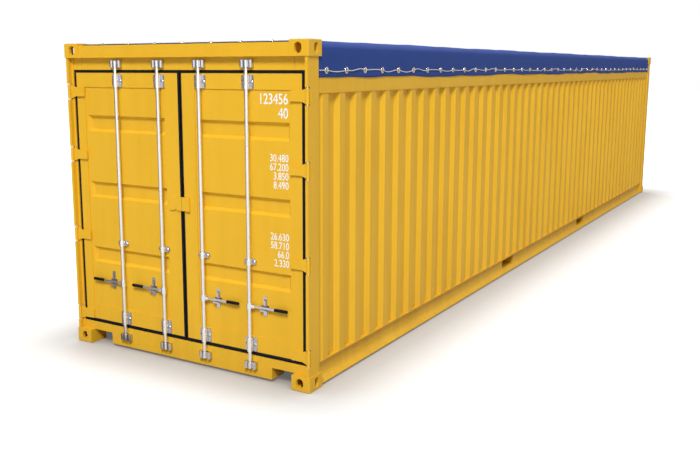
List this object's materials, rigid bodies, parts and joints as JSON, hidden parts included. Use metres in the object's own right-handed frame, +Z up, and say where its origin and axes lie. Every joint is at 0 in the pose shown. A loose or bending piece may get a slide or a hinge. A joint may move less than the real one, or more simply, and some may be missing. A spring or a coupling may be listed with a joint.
{
  "type": "open-top shipping container",
  "caption": "Long corrugated steel freight container with an open top under a laced tarpaulin, hinged double doors with locking bars and corner castings.",
  "frame": {"origin": "middle of the footprint, level with the undersides of the bottom corner castings", "axes": "+X along the length from the doors to the blind front, +Y to the left side, +Z up"},
  "size_m": [12.192, 2.438, 2.591],
  "materials": {
    "yellow_paint": "semi-gloss yellow marine paint, lightly weathered",
    "underframe_paint": "dark protective coating",
    "galvanised_steel": "dull galvanised steel",
    "gasket_rubber": "matte black rubber",
    "handle_grip": "matte black sleeve",
    "floor_timber": "oiled plywood planks",
    "tarpaulin_cloth": "coated blue cloth, slightly glossy",
    "rope": "pale laid rope"
  },
  "bodies": {
    "container": {"top_corner_castings": "yellow_paint", "bottom_corner_castings": "yellow_paint", "door_posts": "yellow_paint", "front_posts": "yellow_paint", "hinge_pins": "galvanised_steel", "door_header": "yellow_paint", "header_plate": "yellow_paint", "header_gussets": "yellow_paint", "door_sill": "yellow_paint", "bottom_side_rails": "yellow_paint", "front_sill": "yellow_paint", "top_side_rails": "yellow_paint", "front_top_rail": "yellow_paint", "left_wall": "yellow_paint", "right_wall": "yellow_paint", "front_wall": "yellow_paint", "floor": "floor_timber", "cross_members": "underframe_paint", "fork_pockets": "yellow_paint", "roof_bows": "galvanised_steel", "tarpaulin": "tarpaulin_cloth", "tarp_rope": "rope", "cam_keepers": "galvanised_steel"},
    "left_door": {"left_door_frame": "yellow_paint", "left_door_panel": "yellow_paint", "left_door_gasket": "gasket_rubber", "left_hinges": "yellow_paint", "left_bar_brackets": "galvanised_steel", "left_handle_catches": "galvanised_steel", "left_lock_plate": "yellow_paint"},
    "left_inner_bar_body": {"left_inner_bar": "galvanised_steel"},
    "left_inner_handle_body": {"left_inner_handle": "galvanised_steel", "left_inner_grip": "handle_grip"},
    "left_outer_bar_body": {"left_outer_bar": "galvanised_steel"},
    "left_outer_handle_body": {"left_outer_handle": "galvanised_steel", "left_outer_grip": "handle_grip"},
    "right_door": {"right_door_frame": "yellow_paint", "right_door_panel": "yellow_paint", "right_door_gasket": "gasket_rubber", "right_hinges": "yellow_paint", "right_bar_brackets": "galvanised_steel", "right_handle_catches": "galvanised_steel", "right_lock_plate": "yellow_paint"},
    "right_inner_bar_body": {"right_inner_bar": "galvanised_steel"},
    "right_inner_handle_body": {"right_inner_handle": "galvanised_steel", "right_inner_grip": "handle_grip"},
    "right_outer_bar_body": {"right_outer_bar": "galvanised_steel"},
    "right_outer_handle_body": {"right_outer_handle": "galvanised_steel", "right_outer_grip": "handle_grip"}
  },
  "joints": [
    {"name": "left_door_swing", "type": "hinge", "parent": "container", "child": "left_door", "pos_m": [-6.078, 1.199, 1.3], "axis": [0, 0, -1], "range_deg": [0, 265]},
    {"name": "left_inner_bar_turn", "type": "hinge", "parent": "left_door", "child": "left_inner_bar_body", "pos_m": [-6.073, 0.208, 0.59], "axis": [0, 0, -1], "range_deg": [-110, 0]},
    {"name": "left_inner_handle_lift", "type": "hinge", "parent": "left_inner_bar_body", "child": "left_inner_handle_body", "pos_m": [-6.073, 0.25, 0.59], "axis": [1, 0, 0], "range_deg": [0, 25]},
    {"name": "left_outer_bar_turn", "type": "hinge", "parent": "left_door", "child": "left_outer_bar_body", "pos_m": [-6.073, 0.66, 0.59], "axis": [0, 0, -1], "range_deg": [-110, 0]},
    {"name": "left_outer_handle_lift", "type": "hinge", "parent": "left_outer_bar_body", "child": "left_outer_handle_body", "pos_m": [-6.073, 0.702, 0.59], "axis": [1, 0, 0], "range_deg": [0, 25]},
    {"name": "right_door_swing", "type": "hinge", "parent": "container", "child": "right_door", "pos_m": [-6.078, -1.199, 1.3], "axis": [0, 0, 1], "range_deg": [0, 265]},
    {"name": "right_inner_bar_turn", "type": "hinge", "parent": "right_door", "child": "right_inner_bar_body", "pos_m": [-6.073, -0.208, 0.59], "axis": [0, 0, 1], "range_deg": [-110, 0]},
    {"name": "right_inner_handle_lift", "type": "hinge", "parent": "right_inner_bar_body", "child": "right_inner_handle_body", "pos_m": [-6.073, -0.25, 0.59], "axis": [-1, 0, 0], "range_deg": [0, 25]},
    {"name": "right_outer_bar_turn", "type": "hinge", "parent": "right_door", "child": "right_outer_bar_body", "pos_m": [-6.073, -0.66, 0.59], "axis": [0, 0, 1], "range_deg": [-110, 0]},
    {"name": "right_outer_handle_lift", "type": "hinge", "parent": "right_outer_bar_body", "child": "right_outer_handle_body", "pos_m": [-6.073, -0.702, 0.59], "axis": [-1, 0, 0], "range_deg": [0, 25]}
  ]
}
